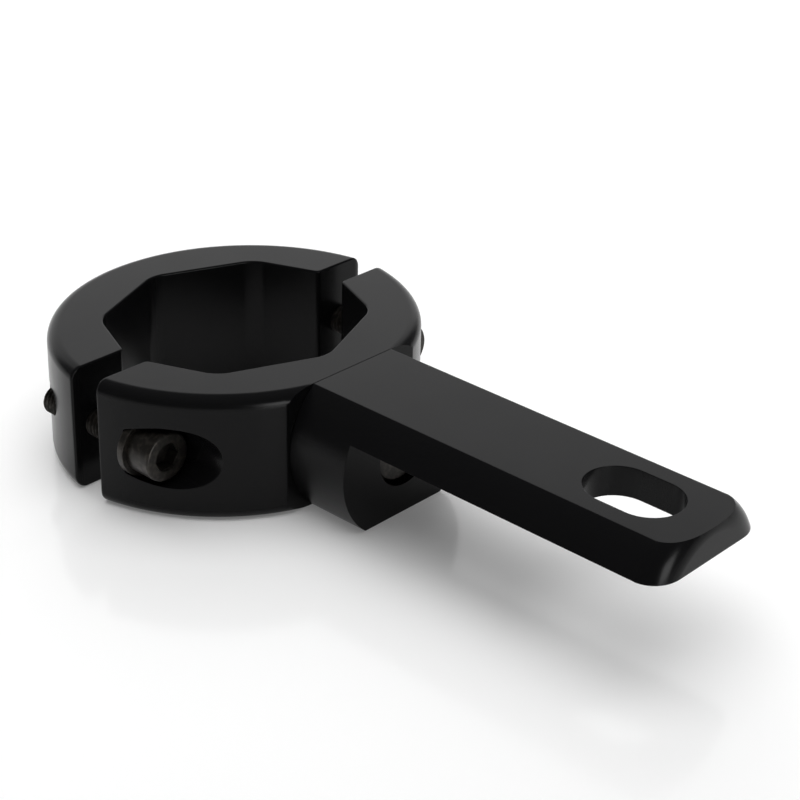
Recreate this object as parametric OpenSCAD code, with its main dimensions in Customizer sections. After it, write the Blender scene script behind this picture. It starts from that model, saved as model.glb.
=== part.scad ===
// Horn mounting bracket: two clamp halves that close round a tube, and a slotted arm
// screwed to a flat on the front half.
// X runs along the arm, Y along the split between the halves, Z up.
// The origin is the centre of the tube opening, on the plane that the bracket lies on.
// Sizes are millimetres.

/* [Clamp] */
// Outer radius of each clamp half
ring_r = 40; // [39:0.1:41]
// Height of the clamp, which is also the height of the bar behind the arm
ring_h = 26.2; // [25:0.1:28]
// Thickness of the clamp at the middle of each side of the opening
wall_t = 12.7; // [12:0.1:13.5]
// Gap between the halves
split_gap = 6.7; // [5:0.1:8]
// How far each half's own centre lies past the middle of the split
half_shift = 3.8; // [3:0.1:5]
// Radius in the corners of the eight-sided opening
octagon_corner_r = 6; // [3:0.5:8]
// Rounding of the outer top and bottom edges
edge_r = 2.6; // [1:0.1:4]
// Depth of the flat that carries the arm
flat_depth = 3.8; // [3.7:0.1:4.4]

/* [Arm] */
// Radius of the round bar that the arm and its leg are milled from
bar_r = 16.85; // [15.5:0.05:17]
// Thickness of the arm
arm_t = 6; // [5:0.1:7]
// Length of the arm from the flat to its end
arm_l = 83.6; // [80:0.1:88]
// Rounding turned on the bar's end
end_round_r = 5.2; // [2:0.1:6]
// Distance from the arm's end to the slot's centre
slot_to_end = 16.8; // [16:0.1:18]
// Length of the slot
slot_l = 19.2; // [17:0.1:20]
// Width of the slot
slot_w = 13.3; // [12:0.1:14]
// Thickness of the leg from the flat to its front
leg_t = 14.2; // [13:0.1:16]

/* [Screws] */
// Distance of each clamp screw's axis from the outer radius of its half
screw_inset = 6.5; // [6.2:0.1:6.8]
// Length of each clamp screw below its head
clamp_screw_l = 28; // [26:0.5:30]
// Distance from the split's middle to the face that each clamp washer sits on
washer_seat_x = 9.3; // [9:0.1:10]
// Length of the arm screw below its head
arm_screw_l = 12; // [10:0.5:12]
// How far the arm screw's head lies below the leg's front
head_recess = 1.3; // [0.5:0.1:2]

/* [Hidden] */
$fn = 96;
clamp_thread_r = 3;
clamp_head_r = 5;
clamp_head_h = 6;
clamp_socket_af = 5;
arm_thread_r = 4;
arm_head_r = 6.5;
arm_head_h = 8;
arm_socket_af = 6;
head_edge = 0.5;
socket_chamfer = 0.3;
tip_chamfer = 0.6;
washer_r = 6;
washer_t = 1.6;
thread_clearance = 0.05;
hole_clearance = 0.3;
washer_clearance = 0.2;
washer_pocket_clearance = 0.25;
head_pocket_clearance = 0.5;
past = 1;
octagon_af = 2 * (ring_r - wall_t);
flat_x = ring_r - half_shift - flat_depth;
screw_y = ring_r - screw_inset;
mid_z = ring_h / 2;
arm_bottom_z = ring_h - arm_t;
arm_end_x = flat_x + arm_l;
slot_x = arm_end_x - slot_to_end;
leg_x = flat_x + leg_t;
head_seat_x = leg_x - head_recess - arm_head_h;
head_seat_clamp_x = washer_seat_x + washer_t;
ANODISED = "#2a2a2b";
STEEL = "#1f1f20";

// Half of the ring's section, with rounded outer edges
module ring_section() {
    square([ring_r - edge_r, ring_h]);
    translate([0, edge_r]) square([ring_r, ring_h - 2 * edge_r]);
    for (z = [edge_r, ring_h - edge_r]) {
        intersection() {
            translate([ring_r - edge_r, z]) circle(r = edge_r);
            square([ring_r, ring_h]);
        }
    }
}

// Eight-sided outline with rounded corners, one corner on the X axis
module octagon() {
    flat = octagon_af / 2;
    inner = flat - octagon_corner_r;
    corner = inner / cos(22.5);
    side = 2 * corner * sin(22.5);
    union() {
        for (i = [0:7]) {
            rotate(i * 45) translate([corner, 0]) circle(r = octagon_corner_r);
            rotate(i * 45 + 22.5) translate([0, -side / 2]) square([flat, side]);
        }
    }
}

// One clamp half on the +X side of the split
module half_ring() {
    intersection() {
        translate([-half_shift, 0, 0]) difference() {
            rotate_extrude() ring_section();
            translate([0, 0, -past]) linear_extrude(ring_h + 2 * past) octagon();
        }
        translate([split_gap / 2, -ring_r, -past]) cube([ring_r, 2 * ring_r, ring_h + 2 * past]);
    }
}

// A cylinder lying along X from x0 to x1
module bar_x(r, x0, x1, y = 0, z = mid_z) {
    translate([x0, y, z]) rotate([0, 90, 0]) cylinder(r = r, h = x1 - x0);
}

// Rear half: the two clamp screws are threaded right through it
module rear_clamp_half() {
    color(ANODISED) difference() {
        mirror([1, 0, 0]) half_ring();
        for (side = [-1, 1]) bar_x(clamp_thread_r + thread_clearance, -ring_r, 0, side * screw_y);
    }
}

// Front half: counterbored for the clamp screws, with a tapped flat for the arm
module front_clamp_half() {
    color(ANODISED) difference() {
        half_ring();
        translate([flat_x, -ring_r, -past]) cube([ring_r, 2 * ring_r, ring_h + 2 * past]);
        for (side = [-1, 1]) {
            bar_x(clamp_thread_r + hole_clearance, 0, ring_r, side * screw_y);
            bar_x(washer_r + washer_pocket_clearance, washer_seat_x, ring_r, side * screw_y);
        }
        bar_x(arm_thread_r + thread_clearance, half_shift, flat_x + past);
    }
}

// Half of the round bar's outline, with its rounded end up
module bar_section() {
    straight = arm_l - end_round_r;
    square([bar_r, straight]);
    square([bar_r - end_round_r, arm_l]);
    intersection() {
        translate([bar_r - end_round_r, straight]) circle(r = end_round_r);
        square([bar_r, arm_l]);
    }
}

// Round bar with a flat on top and below, level with the clamp's faces
module flatted_bar() {
    intersection() {
        translate([flat_x, 0, mid_z]) rotate([0, 90, 0]) rotate_extrude() bar_section();
        translate([0, -2 * bar_r, 0]) cube([2 * arm_end_x, 4 * bar_r, ring_h]);
    }
}

// Slot for the horn's stud, round at both ends
module slot() {
    run = slot_l - slot_w;
    translate([slot_x, 0, arm_bottom_z - past]) {
        for (end = [-1, 1]) {
            translate([end * run / 2, 0, 0]) cylinder(d = slot_w, h = arm_t + 2 * past);
        }
        translate([-run / 2, -slot_w / 2, 0]) cube([run, slot_w, arm_t + 2 * past]);
    }
}

// Arm and leg, milled from one bar
module horn_arm() {
    color(ANODISED) difference() {
        flatted_bar();
        translate([leg_x, -2 * bar_r, -past]) cube([arm_l, 4 * bar_r, arm_bottom_z + past]);
        slot();
        bar_x(arm_thread_r + hole_clearance, flat_x - past, leg_x);
        bar_x(arm_head_r + head_pocket_clearance, head_seat_x, leg_x + past);
    }
}

// Screw section from its tip at 0 up to its head, turned about its axis
module screw_section(thread_r, head_r, head_h, length) {
    polygon([[0, 0], [thread_r - tip_chamfer, 0], [thread_r, tip_chamfer], [thread_r, length],
             [head_r, length], [head_r, length + head_h - head_edge],
             [head_r - head_edge, length + head_h], [0, length + head_h]]);
}

// Socket-head screw: the axis is Z, the tip is at 0, the socket is half as deep as the head
module screw(thread_r, head_r, head_h, socket_af, length) {
    top = length + head_h;
    corner_d = socket_af / cos(30);
    difference() {
        rotate_extrude() screw_section(thread_r, head_r, head_h, length);
        translate([0, 0, top - head_h / 2]) cylinder(d = corner_d, h = head_h / 2 + past, $fn = 6);
        translate([0, 0, top - socket_chamfer])
            cylinder(d1 = corner_d - 0.2, d2 = corner_d + 2 * socket_chamfer, h = socket_chamfer + 0.01);
    }
}

// One clamp screw, its head towards +X
module clamp_screw(side) {
    color(STEEL) translate([head_seat_clamp_x - clamp_screw_l, side * screw_y, mid_z])
        rotate([0, 90, 0]) screw(clamp_thread_r, clamp_head_r, clamp_head_h, clamp_socket_af, clamp_screw_l);
}

// One washer under a clamp screw's head
module clamp_washer(side) {
    color(STEEL) difference() {
        bar_x(washer_r, washer_seat_x, head_seat_clamp_x, side * screw_y);
        bar_x(clamp_thread_r + washer_clearance, washer_seat_x - past, head_seat_clamp_x + past,
              side * screw_y);
    }
}

module clamp_screw_left() { clamp_screw(-1); }
module clamp_screw_right() { clamp_screw(1); }
module clamp_washer_left() { clamp_washer(-1); }
module clamp_washer_right() { clamp_washer(1); }

// Screw that holds the arm to the front half
module arm_screw() {
    color(STEEL) translate([head_seat_x - arm_screw_l, 0, mid_z])
        rotate([0, 90, 0]) screw(arm_thread_r, arm_head_r, arm_head_h, arm_socket_af, arm_screw_l);
}

rear_clamp_half();
front_clamp_half();
horn_arm();
clamp_screw_left();
clamp_screw_right();
clamp_washer_left();
clamp_washer_right();
arm_screw();
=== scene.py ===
"""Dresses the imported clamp, arm and screws of a horn mounting bracket, and sets its stage."""

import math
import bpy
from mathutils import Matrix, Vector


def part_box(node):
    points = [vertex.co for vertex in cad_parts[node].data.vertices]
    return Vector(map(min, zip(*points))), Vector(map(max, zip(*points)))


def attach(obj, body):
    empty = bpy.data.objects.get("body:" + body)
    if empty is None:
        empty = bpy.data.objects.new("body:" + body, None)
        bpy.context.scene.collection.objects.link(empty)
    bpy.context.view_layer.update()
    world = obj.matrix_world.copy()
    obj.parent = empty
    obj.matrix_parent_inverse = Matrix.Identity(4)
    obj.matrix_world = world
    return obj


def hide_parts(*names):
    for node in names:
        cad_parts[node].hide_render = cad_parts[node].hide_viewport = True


bl_info = {
    "name": "Horn mounting bracket",
    "version": (1, 0, 0),
    "blender": (4, 5, 0),
    "location": "3D View > Sidebar > Bracket",
    "description": "Models a split clamp with a slotted arm, its screws and its stage",
    "category": "Object",
}

import bmesh
import bpy
from bpy.props import FloatProperty, FloatVectorProperty, PointerProperty
from mathutils import Matrix, Vector

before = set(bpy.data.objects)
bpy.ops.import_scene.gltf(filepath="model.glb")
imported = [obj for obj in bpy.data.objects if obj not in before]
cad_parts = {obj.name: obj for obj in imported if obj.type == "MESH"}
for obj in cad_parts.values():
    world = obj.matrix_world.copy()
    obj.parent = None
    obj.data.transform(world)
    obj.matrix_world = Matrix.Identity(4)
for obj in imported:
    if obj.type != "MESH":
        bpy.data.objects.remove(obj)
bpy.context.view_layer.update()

MM = 0.001
BODY = "root"
# Places closer than CLOSE count as one place, and faces that turn by more than SHARP make an edge
CLOSE = 0.02 * MM
SHARP = math.radians(25)
# After a cut, points closer than this are merged
MERGED = 0.004 * MM
# How many sides the round tools and pieces have
HOLE_SIDES, SCREW_SIDES, POCKET_SIDES = 64, 96, 128
# Room round a screw in its tapped hole and in its clearance hole
THREAD_CLEARANCE = 0.05 * MM
HOLE_CLEARANCE = 0.3 * MM

CLAMP_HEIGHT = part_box("front_clamp_half")[1].z
MIDDLE_Z = CLAMP_HEIGHT / 2
FLAT_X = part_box("front_clamp_half")[1].x
SPLIT_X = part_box("front_clamp_half")[0].x
ARM_END_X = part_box("horn_arm")[1].x
BAR_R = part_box("horn_arm")[1].y
WASHER_LOW, WASHER_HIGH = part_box("clamp_washer_right")
WASHER_R = (WASHER_HIGH.z - WASHER_LOW.z) / 2
SCREW_Y = (WASHER_LOW.y + WASHER_HIGH.y) / 2


def linear(hex_colour):
    """Linear colour of an sRGB hex value, with full alpha."""
    parts = [int(hex_colour[i:i + 2], 16) / 255 for i in (1, 3, 5)]
    return (*(c / 12.92 if c <= 0.04045 else ((c + 0.055) / 1.055) ** 2.4 for c in parts), 1.0)


def length(name, description, value):
    """A length in metres that a user can change."""
    return FloatProperty(name=name, description=description, default=value, min=0.0,
                         unit="LENGTH", subtype="DISTANCE", precision=5)


def colour(name, description, hex_colour):
    """A colour that a user can change."""
    return FloatVectorProperty(name=name, description=description, size=4, subtype="COLOR",
                               min=0.0, max=1.0, default=linear(hex_colour))


class ClampSizes(bpy.types.PropertyGroup):
    """Sizes of the two clamp halves."""
    outer_radius: length("Outer radius", "Outer radius of each half", 40 * MM)
    centre_shift: length("Centre shift", "How far each half's centre lies past the split", 3.8 * MM)
    opening: length("Opening", "Size of the eight-sided opening, flat to flat", 54.6 * MM)
    opening_corner: length("Opening corner", "Radius in the opening's corners", 6 * MM)
    outer_rounding: length("Outer rounding", "Rounding of the outer edges", 2.6 * MM)
    inner_break: length("Inner break", "Rounding of the edges of the opening and the split", 0.4 * MM)
    end_facet: length("End facet", "Width of the shallow facet at each end of the split faces", 2.1 * MM)
    facet_depth: length("Facet depth", "Depth of that facet at the outer edge", 0.45 * MM)
    gap_corner: length("Gap corner", "Rounding of the corners between the opening and the split", 1.2 * MM)
    pocket_radius: length("Pocket radius", "Radius of the pockets for the screw heads", 6.25 * MM)
    rim_break: length("Rim break", "Rounding of the pockets' rims", 0.2 * MM)


class ArmSizes(bpy.types.PropertyGroup):
    """Sizes of the arm and its leg."""
    thickness: length("Thickness", "Thickness of the arm", 6 * MM)
    end_rounding: length("End rounding", "Rounding turned on the bar's end", 5.2 * MM)
    edge_break: length("Edge break", "Rounding of the arm's milled edges", 0.12 * MM)
    joint_break: length("Joint break", "Rounding of the end that butts against the clamp", 0.25 * MM)
    slot_x: length("Slot place", "Distance of the slot's centre from the split", 99.2 * MM)
    slot_length: length("Slot length", "Length of the slot", 19.2 * MM)
    slot_width: length("Slot width", "Width of the slot", 13.3 * MM)
    leg_front: length("Leg front", "Distance of the leg's front from the split", 46.6 * MM)
    pocket_radius: length("Pocket radius", "Radius of the pocket for the arm screw's head", 7 * MM)
    pocket_depth: length("Pocket depth", "Depth of the pocket for the arm screw's head", 9.3 * MM)


class ScrewSizes(bpy.types.PropertyGroup):
    """Sizes of the socket-head screws and washers."""
    clamp_thread: length("Clamp thread", "Radius of the clamp screws' thread", 3 * MM)
    clamp_pitch: length("Clamp pitch", "Pitch of the clamp screws' thread", 1 * MM)
    clamp_socket: length("Clamp socket", "Size of the clamp screws' socket, flat to flat", 5 * MM)
    arm_thread: length("Arm thread", "Radius of the arm screw's thread", 4 * MM)
    arm_pitch: length("Arm pitch", "Pitch of the arm screw's thread", 1.25 * MM)
    arm_socket: length("Arm socket", "Size of the arm screw's socket, flat to flat", 6 * MM)
    head_edge: length("Head edge", "Rounding of the heads' rims", 0.5 * MM)
    tip_chamfer: length("Tip chamfer", "Chamfer at the screws' tips", 0.6 * MM)
    washer_hole: length("Washer hole", "Radius of the washers' hole", 3.2 * MM)


class FinishColours(bpy.types.PropertyGroup):
    """Colours of the finishes and of the stage."""
    anodised: colour("Anodised aluminium", "Black of the anodised parts", "#111112")
    oxide: colour("Black oxide", "Black of the screws and washers", "#262421")
    worn_steel: colour("Worn steel", "Steel that shows at worn rims", "#57514b")
    floor: colour("Floor", "Colour of the floor", "#fbfbfb")


def only(piece):
    """Selects one object and makes it the active one."""
    bpy.ops.object.select_all(action="DESELECT")
    piece.select_set(True)
    bpy.context.view_layer.objects.active = piece


def settle(piece):
    """Puts a piece's place and turn into its mesh."""
    only(piece)
    bpy.ops.object.transform_apply(location=True, rotation=True, scale=True)
    return piece


def cylinder(name, radius, depth, sides, place, rotation):
    """A cylinder with its middle at a place, turned."""
    bpy.ops.object.select_all(action="DESELECT")
    bpy.ops.mesh.primitive_cylinder_add(vertices=sides, radius=radius, depth=depth,
                                        location=place, rotation=rotation)
    piece = bpy.context.active_object
    piece.name = name
    return settle(piece)


def lying_bar(name, radius, span, y, z, sides):
    """A cylinder along X, from one end to the other."""
    place = ((span[0] + span[1]) / 2, y, z)
    return cylinder(name, radius, span[1] - span[0], sides, place, (0, math.pi / 2, 0))


def standing_bar(name, radius, span, x, sides, turn=0.0):
    """A cylinder along Z, from its foot to its top, in the middle across the bracket."""
    place = (x, 0, (span[0] + span[1]) / 2)
    return cylinder(name, radius, span[1] - span[0], sides, place, (0, 0, turn))


def block(name, low, high):
    """A block from its lowest to its highest corner."""
    bpy.ops.object.select_all(action="DESELECT")
    bpy.ops.mesh.primitive_cube_add(size=1, location=[(a + b) / 2 for a, b in zip(low, high)],
                                    scale=[b - a for a, b in zip(low, high)])
    piece = bpy.context.active_object
    piece.name = name
    return settle(piece)


def use(piece, kind, **settings):
    """Adds a modifier with its settings and applies it."""
    only(piece)
    modifier = piece.modifiers.new(kind.title(), kind)
    for key, value in settings.items():
        setattr(modifier, key, value)
    bpy.ops.object.modifier_apply(modifier=modifier.name)


def combine(piece, tool, operation="DIFFERENCE"):
    """Cuts a tool out of a piece, or adds it, and merges the points that fall together."""
    use(piece, "BOOLEAN", object=tool, operation=operation, solver="EXACT")
    bpy.data.objects.remove(tool)
    only(piece)
    bpy.ops.object.mode_set(mode="EDIT")
    bpy.ops.mesh.select_all(action="SELECT")
    bpy.ops.mesh.remove_doubles(threshold=MERGED)
    bpy.ops.object.mode_set(mode="OBJECT")


def pick(piece, kind, test):
    """Goes into edit mode and selects the edges or faces that pass a test."""
    only(piece)
    bpy.ops.object.mode_set(mode="EDIT")
    bpy.ops.mesh.select_mode(type=kind)
    bpy.ops.mesh.select_all(action="DESELECT")
    mesh = bmesh.from_edit_mesh(piece.data)
    for part in mesh.edges if kind == "EDGE" else mesh.faces:
        if test(part):
            part.select_set(True)
    mesh.select_flush_mode()
    bmesh.update_edit_mesh(piece.data)


def round_picked(width, steps):
    """Rounds the edges that are selected, and leaves edit mode."""
    bpy.ops.mesh.bevel(offset=width, offset_type="OFFSET", segments=steps, profile=0.5,
                       affect="EDGES", clamp_overlap=False)
    bpy.ops.object.mode_set(mode="OBJECT")


def middle(edge):
    """The middle of an edge."""
    return (edge.verts[0].co + edge.verts[1].co) / 2


def sharp(edge):
    """Whether an edge has a visible angle."""
    return len(edge.link_faces) == 2 and edge.calc_face_angle(0) > SHARP


def runs_along(edge, axis):
    """Whether an edge runs along an axis, from 0 for X to 2 for Z."""
    along = edge.verts[1].co - edge.verts[0].co
    return abs(along[axis]) > 0.95 * along.length


def upright(edge):
    """Whether an edge runs along Z."""
    return runs_along(edge, 2)


def join_flat_faces(piece):
    """Takes out the edges that cross a flat face."""
    only(piece)
    bpy.ops.object.mode_set(mode="EDIT")
    bpy.ops.mesh.select_all(action="SELECT")
    bpy.ops.mesh.dissolve_limited(angle_limit=math.radians(0.05), use_dissolve_boundaries=False)
    bpy.ops.object.mode_set(mode="OBJECT")


def round_by_place(piece, widest, steps, width_at):
    """Rounds each sharp edge by the width that a rule gives for it."""
    mesh = bmesh.new()
    mesh.from_mesh(piece.data)
    weights = mesh.edges.layers.float.new("bevel_weight_edge")
    for edge in mesh.edges:
        if sharp(edge):
            edge[weights] = width_at(edge) / widest
    mesh.to_mesh(piece.data)
    mesh.free()
    use(piece, "BEVEL", width=widest, segments=steps, limit_method="WEIGHT",
        use_clamp_overlap=False, miter_outer="MITER_ARC")


def finish(piece, node, make_material):
    """Shades a piece, gives it its finish and puts it in place of its solid."""
    only(piece)
    bpy.ops.object.shade_smooth_by_angle(angle=math.radians(30))
    use(piece, "WEIGHTED_NORMAL", keep_sharp=True, weight=100)
    # A finish is made once and then shared by the pieces that have it
    material = bpy.data.materials.get(make_material.__name__)
    piece.data.materials.clear()
    piece.data.materials.append(material or make_material(bpy.context.scene.bracket_colours))
    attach(piece, BODY)
    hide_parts(node)


def opening_tool(side, centre, low, high, far, sizes):
    """What the half leaves free: the eight-sided opening, and all that lies beyond the split."""
    corner_radius = sizes.opening / 2 / math.cos(math.pi / 8)
    tool = standing_bar("opening", corner_radius, (low, high), centre, 8)
    pick(tool, "EDGE", upright)
    # The outline turns by 45 degrees at each corner, and by 67.5 degrees from a flat to the split
    round_picked(sizes.opening_corner * math.tan(math.radians(45) / 2), 8)
    beyond = sorted((side * SPLIT_X, -side * far))
    combine(tool, block("saw", (beyond[0], -far, low), (beyond[1], far, high)), "UNION")
    pick(tool, "EDGE", lambda edge: upright(edge) and sharp(edge) and not edge.is_convex
         and abs(middle(edge).x - side * SPLIT_X) < CLOSE)
    round_picked(sizes.gap_corner * math.tan(math.radians(67.5) / 2), 6)
    return tool


def facet_end(half, side, end, facet_y, low, high, far, sizes):
    """Takes a shallow wedge off one end of a half's split face."""
    ends, across = sorted((0, side * SPLIT_X)), sorted((end * facet_y, end * far))
    wedge = block("wedge", (ends[0], across[0], low), (ends[1], across[1], high))
    for vertex in wedge.data.vertices:
        if vertex.co.x * side > 0:
            vertex.co.x += side * sizes.facet_depth * (end * vertex.co.y - facet_y) / sizes.end_facet
    combine(half, wedge)


def clamp_half(name, front, sizes):
    """One half ring with its eight-sided opening, before its screw holes."""
    side = 1 if front else -1
    centre = -side * sizes.centre_shift
    radius = sizes.outer_radius
    # With 228 sides, no row of points comes within a break of the split
    half = standing_bar(name, radius, (0, CLAMP_HEIGHT), centre, 228, turn=math.pi / 228)
    pick(half, "EDGE", lambda edge: sharp(edge) and not upright(edge))
    round_picked(sizes.outer_rounding, 8)

    low, high, far = -2 * MM, CLAMP_HEIGHT + 2 * MM, 2 * radius
    combine(half, opening_tool(side, centre, low, high, far, sizes))
    facet_y = radius - sizes.end_facet
    for end in (-1, 1):
        facet_end(half, side, end, facet_y, low, high, far, sizes)
    if front:
        combine(half, block("mill", (FLAT_X, -far, -far), (far, far, far)))
    join_flat_faces(half)
    # The facets are so shallow that the shading would smooth them over, so their edges are marked
    pick(half, "EDGE", lambda edge: upright(edge) and abs(abs(middle(edge).y) - facet_y) < CLOSE
         and abs(middle(edge).x - side * SPLIT_X) < CLOSE)
    bpy.ops.mesh.mark_sharp()
    bpy.ops.object.mode_set(mode="OBJECT")

    # One width goes all round each flat face, and the flat's own edges stay sharp: they meet the round
    # wall too obliquely. Otherwise the rounding crosses itself, and a later hole fills the opening.
    def width_at(edge):
        return 0 if front and abs(middle(edge).x - FLAT_X) < CLOSE else sizes.inner_break

    round_by_place(half, sizes.inner_break, 3, width_at)
    return half


def break_rims(piece, radius, y, z, beyond_x, width):
    """Rounds the rims that a round hole along X leaves on a piece."""
    def on_rim(edge):
        return sharp(edge) and all(
            abs(math.hypot(v.co.y - y, v.co.z - z) - radius) < CLOSE and v.co.x > beyond_x
            for v in edge.verts)
    pick(piece, "EDGE", on_rim)
    round_picked(width, 2)


def thread_profile(turn):
    """Share of the thread's depth that is cut away at a place within one turn."""
    # The crest is an eighth of a turn wide and the root a quarter, with a slope on each side between them
    crest, root = 1 / 8, 1 / 4
    place = abs(turn % 1 - 0.5) * 2
    return min(max((1 - crest - place) / (1 - crest - root), 0), 1)


def threaded_bar(name, radius, pitch, chamfer, span, y, z):
    """A threaded rod along X with a chamfered tip."""
    tip_x, end_x = span
    # The thread is cut 0.6 of its pitch deep, and drawn with 12 rows of points in each turn
    depth, rows_in_a_turn = 0.6 * pitch, 12
    rod = lying_bar(name, radius, span, y, z, 40)
    rows = round((end_x - tip_x) / pitch * rows_in_a_turn)
    # One operator call makes too few cuts, so the rows come in two rounds
    cuts = math.isqrt(rows)
    for count in (cuts, math.ceil(rows / (cuts + 1))):
        pick(rod, "EDGE", lambda edge: runs_along(edge, 0))
        bpy.ops.mesh.subdivide(number_cuts=count)
        bpy.ops.object.mode_set(mode="OBJECT")
    for vertex in rod.data.vertices:
        across = Vector((0, vertex.co.y - y, vertex.co.z - z))
        turn = (vertex.co.x - tip_x) / pitch - math.atan2(across.z, across.y) / math.tau
        cut = min(radius - depth * thread_profile(turn), radius - chamfer + (vertex.co.x - tip_x))
        vertex.co = Vector((vertex.co.x, y, z)) + across.normalized() * cut
    return rod


def socket_screw(name, node, thread, pitch, socket, sizes):
    """A socket-head screw along X, its head towards the arm's end, in the place of its solid."""
    low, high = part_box(node)
    tip_x, face_x = low.x, high.x
    y, z, head_radius = (low.y + high.y) / 2, (low.z + high.z) / 2, (high.z - low.z) / 2
    # A standard head is as high as the thread is wide, and its socket half as deep
    seat_x, socket_depth = face_x - 2 * thread, thread
    seat_edge, overlap = 0.2 * MM, 0.5 * MM
    head = lying_bar(name, head_radius, (seat_x, face_x), y, z, SCREW_SIDES)
    pick(head, "EDGE", lambda edge: sharp(edge) and middle(edge).x > face_x - CLOSE)
    round_picked(sizes.head_edge, 4)
    pick(head, "EDGE", lambda edge: sharp(edge) and middle(edge).x < seat_x + CLOSE)
    round_picked(seat_edge, 2)
    corner = socket / 2 / math.cos(math.pi / 6)
    combine(head, lying_bar("socket", corner, (face_x - socket_depth, face_x + MM), y, z, 6))
    # The socket's mouth is a short cone
    mouth_depth, mouth_margin, mouth_taper = 0.45 * MM, 0.35 * MM, 0.84
    mouth = lying_bar("mouth", corner + mouth_margin, (face_x - mouth_depth, face_x + MM), y, z, SCREW_SIDES)
    pick(mouth, "FACE", lambda face: face.calc_center_median().x < face_x - mouth_depth + CLOSE)
    bpy.ops.transform.resize(value=(1, mouth_taper, mouth_taper), center_override=(face_x, y, z))
    bpy.ops.object.mode_set(mode="OBJECT")
    combine(head, mouth)
    shank = threaded_bar("shank", thread, pitch, sizes.tip_chamfer, (tip_x, seat_x + overlap), y, z)
    combine(head, shank, "UNION")
    return head


def add_node(tree, kind, inputs, **settings):
    """Adds a node, sets it, and links or sets its inputs."""
    made = tree.nodes.new(kind)
    for key, value in settings.items():
        setattr(made, key, value)
    for socket, value in inputs.items():
        if isinstance(value, bpy.types.NodeSocket):
            tree.links.new(value, made.inputs[socket])
        else:
            made.inputs[socket].default_value = value
    return made


def new_material(name):
    """A material with an empty node tree, and that tree."""
    material = bpy.data.materials.new(name)
    material.use_nodes = True
    material.node_tree.nodes.clear()
    return material, material.node_tree


def anodised_aluminium(colours):
    """Milled aluminium with a black anodised coat: dark and satin, with the faintest grain."""
    material, tree = new_material("anodised_aluminium")
    place = add_node(tree, "ShaderNodeTexCoord", {}).outputs["Object"]
    # The coat's grain is finer than it can show, so it is drawn 0.15 mm across
    grain = add_node(tree, "ShaderNodeTexNoise", {"Vector": place, "Scale": 6500, "Detail": 3.0})
    # Handling leaves slightly smoother patches about 12 mm across
    patches = add_node(tree, "ShaderNodeTexNoise", {"Vector": place, "Scale": 80, "Detail": 2.0})
    gloss = add_node(tree, "ShaderNodeMapRange", {
        "Value": patches.outputs["Fac"], "From Min": 0.3, "From Max": 0.7, "To Min": 0.20, "To Max": 0.26})
    darker = [c * 0.8 for c in colours.anodised[:3]] + [1]
    tone = add_node(tree, "ShaderNodeMixRGB", {
        "Fac": grain.outputs["Fac"], "Color1": colours.anodised, "Color2": darker})
    bump = add_node(tree, "ShaderNodeBump", {
        "Height": grain.outputs["Fac"], "Strength": 0.12, "Distance": 0.02 * MM})
    # The dyed coat covers the metal, so the surface reflects as a thin clear layer does
    shader = add_node(tree, "ShaderNodeBsdfPrincipled", {
        "Base Color": tone.outputs["Color"], "Roughness": gloss.outputs["Result"],
        "Normal": bump.outputs["Normal"], "Metallic": 0.0, "IOR": 1.23})
    add_node(tree, "ShaderNodeOutputMaterial", {"Surface": shader.outputs["BSDF"]})
    return material


def black_oxide_steel(colours):
    """Forged steel screws with a black oxide coat: near black, a little oily, with a faint warm cast."""
    material, tree = new_material("black_oxide_steel")
    place = add_node(tree, "ShaderNodeTexCoord", {}).outputs["Object"]
    # Oil and handling mottle the oxide in patches of about 1 mm
    mottle = add_node(tree, "ShaderNodeTexNoise", {"Vector": place, "Scale": 900, "Detail": 4.0})
    worn = add_node(tree, "ShaderNodeMapRange", {
        "Value": mottle.outputs["Fac"], "From Min": 0.45, "From Max": 0.75, "To Min": 0.0, "To Max": 0.5})
    tone = add_node(tree, "ShaderNodeMixRGB", {
        "Fac": worn.outputs["Result"], "Color1": colours.oxide, "Color2": colours.worn_steel})
    bump = add_node(tree, "ShaderNodeBump", {
        "Height": mottle.outputs["Fac"], "Strength": 0.1, "Distance": 0.03 * MM})
    shader = add_node(tree, "ShaderNodeBsdfPrincipled", {
        "Base Color": tone.outputs["Color"], "Roughness": 0.34, "Metallic": 0.6,
        "Normal": bump.outputs["Normal"]})
    add_node(tree, "ShaderNodeOutputMaterial", {"Surface": shader.outputs["BSDF"]})
    return material


def glossy_white_floor(colours):
    """A white acrylic sheet, polished, so that it mirrors the bracket a little."""
    material, tree = new_material("glossy_white_floor")
    # What the camera and gloss see is a little lighter, so that it goes over into the white behind it
    lift = 0.12
    path = add_node(tree, "ShaderNodeLightPath", {})
    seen = add_node(tree, "ShaderNodeMath", {
        0: path.outputs["Is Camera Ray"], 1: path.outputs["Is Glossy Ray"]}, operation="MAXIMUM")
    near = add_node(tree, "ShaderNodeMath", {0: seen.outputs["Value"], 1: lift}, operation="MULTIPLY")
    # Far from the bracket the camera sees a white floor, where the lamps no longer reach
    place = add_node(tree, "ShaderNodeTexCoord", {}).outputs["Object"]
    distance = add_node(tree, "ShaderNodeVectorMath", {0: place}, operation="LENGTH")
    far = add_node(tree, "ShaderNodeMapRange", {
        "Value": distance.outputs["Value"], "From Min": 0.4, "From Max": 2.0, "To Min": 0.0, "To Max": 0.8},
        interpolation_type="SMOOTHSTEP")
    glow = add_node(tree, "ShaderNodeMath", {
        0: path.outputs["Is Camera Ray"], 1: far.outputs["Result"], 2: near.outputs["Value"]},
        operation="MULTIPLY_ADD")
    shader = add_node(tree, "ShaderNodeBsdfPrincipled", {
        "Base Color": colours.floor, "Roughness": 0.12, "IOR": 1.5,
        "Emission Color": (1, 1, 1, 1), "Emission Strength": glow.outputs["Value"]})
    add_node(tree, "ShaderNodeOutputMaterial", {"Surface": shader.outputs["BSDF"]})
    return material


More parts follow.
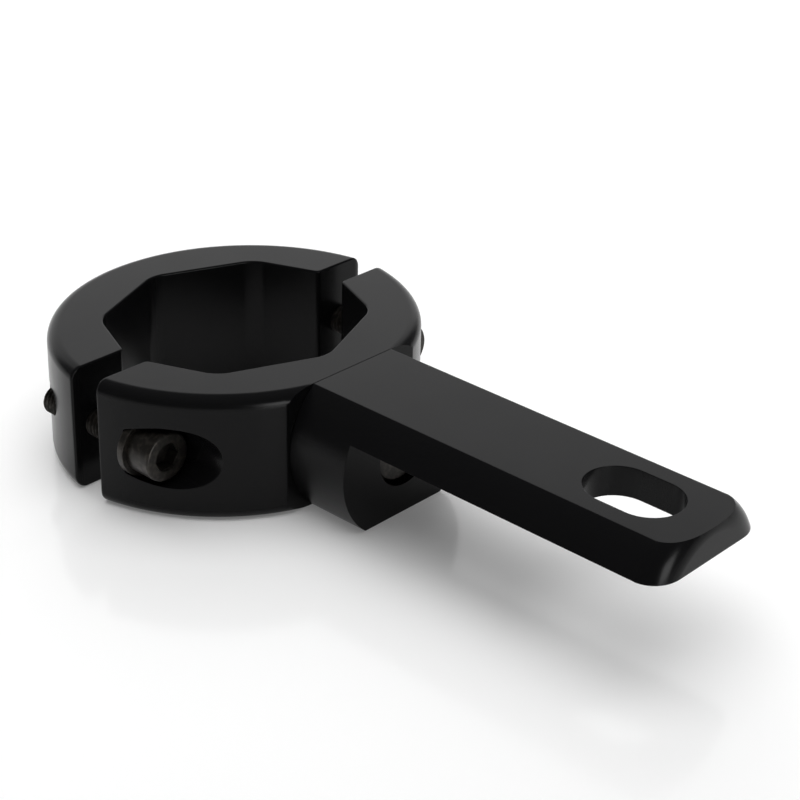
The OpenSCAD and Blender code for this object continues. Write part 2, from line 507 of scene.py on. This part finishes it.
def add_lamp(name, place, size, energy, glint):
    """A square lamp aimed at the bracket, which either lights it or only glints on it."""
    bpy.ops.object.light_add(type="AREA", location=place)
    lamp = bpy.context.active_object
    lamp.name = name
    lamp.data.size = size
    lamp.data.energy = energy
    lamp.visible_glossy = glint
    lamp.visible_diffuse = not glint
    bracket_middle = Vector((0.04, 0, 0.01))
    lamp.rotation_euler = (bracket_middle - Vector(place)).to_track_quat("-Z", "Y").to_euler()


def studio():
    """The surroundings: white to the camera, and otherwise a dim room with a low white wall."""
    behind_bracket, room_brightness = (-0.819, 0.574, 0), 0.12
    world = bpy.data.worlds.new("studio")
    world.use_nodes = True
    tree = world.node_tree
    tree.nodes.clear()
    direction = add_node(tree, "ShaderNodeTexCoord", {}).outputs["Generated"]
    level = add_node(tree, "ShaderNodeVectorMath", {0: direction, 1: (1, 1, 0)}, operation="MULTIPLY")
    heading = add_node(tree, "ShaderNodeVectorMath", {0: level.outputs["Vector"]}, operation="NORMALIZE")
    towards = add_node(tree, "ShaderNodeVectorMath", {0: heading.outputs["Vector"], 1: behind_bracket},
                       operation="DOT_PRODUCT")
    # The wall's sides and its top go over softly into the dim room
    wall = add_node(tree, "ShaderNodeMapRange", {
        "Value": towards.outputs["Value"], "From Min": 0.62, "From Max": 0.85, "To Min": 0.0, "To Max": 1.0},
        interpolation_type="SMOOTHSTEP")
    height = add_node(tree, "ShaderNodeSeparateXYZ", {"Vector": direction}).outputs["Z"]
    below_top = add_node(tree, "ShaderNodeMapRange", {
        "Value": height, "From Min": 0.55, "From Max": 0.7, "To Min": 1.0, "To Max": 0.0},
        interpolation_type="SMOOTHSTEP")
    lit = add_node(tree, "ShaderNodeMath", {0: wall.outputs["Result"], 1: below_top.outputs["Result"]},
                   operation="MULTIPLY")
    room = add_node(tree, "ShaderNodeMath", {0: lit.outputs["Value"], 1: room_brightness},
                    operation="MAXIMUM")
    path = add_node(tree, "ShaderNodeLightPath", {})
    seen = add_node(tree, "ShaderNodeMath", {0: path.outputs["Is Camera Ray"], 1: room.outputs["Value"]},
                    operation="MAXIMUM")
    background = add_node(tree, "ShaderNodeBackground", {
        "Color": (1, 1, 1, 1), "Strength": seen.outputs["Value"]})
    add_node(tree, "ShaderNodeOutputWorld", {"Surface": background.outputs["Background"]})
    return world


def photo_camera():
    """The camera, at the photo's place, with its turn and lens."""
    bpy.ops.object.camera_add()
    camera = bpy.context.active_object
    right = Vector((0.73366, 0.67902, 0.02598))
    up = Vector((-0.33095, 0.32365, 0.88641))
    back = Vector((0.59348, -0.65892, 0.46217))
    place = Vector((262.91, -242.13, 193.27)) * MM
    camera.matrix_world = Matrix.Translation(place) @ Matrix((right, up, back)).transposed().to_4x4()
    camera.data.sensor_width = 36
    camera.data.lens = 88.10
    camera.data.clip_start = 0.01
    camera.data.clip_end = 100
    return camera


class BRACKET_OT_rear_half(bpy.types.Operator):
    """Models the rear clamp half with its two tapped holes"""
    bl_idname = "bracket.rear_half"
    bl_label = "Rear half"

    def execute(self, context):
        sizes, screws = context.scene.bracket_clamp, context.scene.bracket_screws
        half = clamp_half("rear_half", False, sizes)
        for y in (-SCREW_Y, SCREW_Y):
            combine(half, lying_bar("tapped hole", screws.clamp_thread + THREAD_CLEARANCE,
                                    (-2 * sizes.outer_radius, 0), y, MIDDLE_Z, HOLE_SIDES))
        finish(half, "rear_clamp_half", anodised_aluminium)
        return {"FINISHED"}


class BRACKET_OT_front_half(bpy.types.Operator):
    """Models the front clamp half with its pockets and the flat for the arm"""
    bl_idname = "bracket.front_half"
    bl_label = "Front half"

    def execute(self, context):
        sizes, screws = context.scene.bracket_clamp, context.scene.bracket_screws
        half = clamp_half("front_half", True, sizes)
        for y in (-SCREW_Y, SCREW_Y):
            combine(half, lying_bar("pocket", sizes.pocket_radius, (WASHER_LOW.x, sizes.outer_radius),
                                    y, MIDDLE_Z, POCKET_SIDES))
            break_rims(half, sizes.pocket_radius, y, MIDDLE_Z, WASHER_LOW.x + CLOSE, sizes.rim_break)
            combine(half, lying_bar("hole", screws.clamp_thread + HOLE_CLEARANCE, (0, WASHER_LOW.x + MM),
                                    y, MIDDLE_Z, HOLE_SIDES))
        combine(half, lying_bar("tapped hole", screws.arm_thread + THREAD_CLEARANCE, (0, FLAT_X + MM),
                                0, MIDDLE_Z, HOLE_SIDES))
        finish(half, "front_clamp_half", anodised_aluminium)
        return {"FINISHED"}


class BRACKET_OT_arm(bpy.types.Operator):
    """Mills the arm and its leg from one round bar"""
    bl_idname = "bracket.arm"
    bl_label = "Arm"

    def execute(self, context):
        sizes, screws = context.scene.bracket_arm, context.scene.bracket_screws
        # With 180 sides, no row of points comes within a break of the milled edges
        arm = lying_bar("arm_and_leg", BAR_R, (FLAT_X, ARM_END_X), 0, MIDDLE_Z, 180)
        pick(arm, "EDGE", lambda edge: sharp(edge) and middle(edge).x > ARM_END_X - CLOSE)
        round_picked(sizes.end_rounding, 12)
        wide, under_z = 2 * BAR_R, CLAMP_HEIGHT - sizes.thickness
        # The milled faces are the top, the bottom, and the step in front of the leg
        for low_x, low_z, high_z in ((0, CLAMP_HEIGHT, wide * 2), (0, -wide, 0),
                                     (sizes.leg_front, -wide, under_z)):
            combine(arm, block("mill", (low_x, -wide, low_z), (2 * ARM_END_X, wide, high_z)))
        run = (sizes.slot_length - sizes.slot_width) / 2
        slot = standing_bar("slot", sizes.slot_width / 2, (under_z - MM, CLAMP_HEIGHT + MM), sizes.slot_x,
                            POCKET_SIDES, turn=math.pi / POCKET_SIDES)
        for vertex in slot.data.vertices:
            vertex.co.x += math.copysign(run, vertex.co.x - sizes.slot_x)
        combine(arm, slot)

        def width_at(edge):
            if abs(middle(edge).x - FLAT_X) < CLOSE:
                return sizes.joint_break
            straight = middle(edge).x < ARM_END_X - sizes.end_rounding
            return sizes.edge_break if edge.is_convex and straight else 0

        round_by_place(arm, sizes.joint_break, 2, width_at)
        seat_x = sizes.leg_front - sizes.pocket_depth
        combine(arm, lying_bar("hole", screws.arm_thread + HOLE_CLEARANCE, (FLAT_X - MM, seat_x + MM),
                               0, MIDDLE_Z, HOLE_SIDES))
        combine(arm, lying_bar("pocket", sizes.pocket_radius, (seat_x, sizes.leg_front + MM),
                               0, MIDDLE_Z, POCKET_SIDES))
        finish(arm, "horn_arm", anodised_aluminium)
        return {"FINISHED"}


class BRACKET_OT_screws(bpy.types.Operator):
    """Models the two clamp screws and the arm screw"""
    bl_idname = "bracket.screws"
    bl_label = "Screws"

    def execute(self, context):
        sizes = context.scene.bracket_screws
        clamp = (sizes.clamp_thread, sizes.clamp_pitch, sizes.clamp_socket)
        arm = (sizes.arm_thread, sizes.arm_pitch, sizes.arm_socket)
        for name, node, thread in (("left_clamp_bolt", "clamp_screw_left", clamp),
                                   ("right_clamp_bolt", "clamp_screw_right", clamp),
                                   ("arm_bolt", "arm_screw", arm)):
            finish(socket_screw(name, node, *thread, sizes), node, black_oxide_steel)
        return {"FINISHED"}


class BRACKET_OT_washers(bpy.types.Operator):
    """Models the washers under the clamp screws' heads"""
    bl_idname = "bracket.washers"
    bl_label = "Washers"

    def execute(self, context):
        sizes = context.scene.bracket_screws
        edge_break = 0.15 * MM
        for name, node, y in (("left_washer", "clamp_washer_left", -SCREW_Y),
                              ("right_washer", "clamp_washer_right", SCREW_Y)):
            washer = lying_bar(name, WASHER_R, (WASHER_LOW.x, WASHER_HIGH.x), y, MIDDLE_Z, SCREW_SIDES)
            combine(washer, lying_bar("hole", sizes.washer_hole, (WASHER_LOW.x - MM, WASHER_HIGH.x + MM),
                                      y, MIDDLE_Z, HOLE_SIDES))
            round_by_place(washer, edge_break, 2, lambda edge: edge_break)
            finish(washer, node, black_oxide_steel)
        return {"FINISHED"}


class BRACKET_OT_stage(bpy.types.Operator):
    """Sets the floor, the lamps, the surroundings and the camera"""
    bl_idname = "bracket.stage"
    bl_label = "Stage"

    def execute(self, context):
        scene = context.scene
        bpy.ops.object.select_all(action="DESELECT")
        # The floor lies a hair below the bracket, so that their faces don't coincide
        bpy.ops.mesh.primitive_plane_add(size=30, location=(0, 0, -0.02 * MM))
        floor = context.active_object
        floor.name = "floor"
        floor.data.materials.append(glossy_white_floor(scene.bracket_colours))
        # The two large lamps light the bracket, and the small one in front only glints along its edges
        add_lamp("top_lamp", (0.0, 0.05, 1.9), 2.4, 36.0, glint=False)
        add_lamp("back_lamp", (-1.3, 1.45, 1.2), 1.6, 12.0, glint=False)
        add_lamp("front_lamp", (1.06, -0.22, 0.24), 0.42, 3.0, glint=True)
        scene.world = studio()
        scene.camera = photo_camera()
        scene.view_settings.view_transform = "Standard"
        return {"FINISHED"}


class BRACKET_PT_panel(bpy.types.Panel):
    """Lists the bracket's steps and sizes"""
    bl_idname = "BRACKET_PT_panel"
    bl_label = "Horn mounting bracket"
    bl_space_type = "VIEW_3D"
    bl_region_type = "UI"
    bl_category = "Bracket"

    def draw(self, context):
        for step in STEPS:
            self.layout.operator(step.bl_idname)
        for group in GROUPS:
            box = self.layout.box()
            values = getattr(context.scene, group)
            for key in values.__annotations__:
                box.prop(values, key)


STEPS = (BRACKET_OT_stage, BRACKET_OT_rear_half, BRACKET_OT_front_half, BRACKET_OT_arm,
         BRACKET_OT_screws, BRACKET_OT_washers)
GROUPS = {"bracket_clamp": ClampSizes, "bracket_arm": ArmSizes, "bracket_screws": ScrewSizes,
          "bracket_colours": FinishColours}


def register():
    """Registers the sizes, the steps and the panel."""
    for group in GROUPS.values():
        bpy.utils.register_class(group)
    for name, group in GROUPS.items():
        setattr(bpy.types.Scene, name, PointerProperty(type=group))
    for step in (*STEPS, BRACKET_PT_panel):
        bpy.utils.register_class(step)


def unregister():
    """Takes the panel, the steps and the sizes out again."""
    for step in (BRACKET_PT_panel, *reversed(STEPS)):
        bpy.utils.unregister_class(step)
    for name, group in GROUPS.items():
        delattr(bpy.types.Scene, name)
        bpy.utils.unregister_class(group)


def main():
    """Sets the stage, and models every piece."""
    register()
    bpy.ops.bracket.stage()
    bpy.ops.bracket.rear_half()
    bpy.ops.bracket.front_half()
    bpy.ops.bracket.arm()
    bpy.ops.bracket.screws()
    bpy.ops.bracket.washers()


if __name__ == "__main__":
    main()
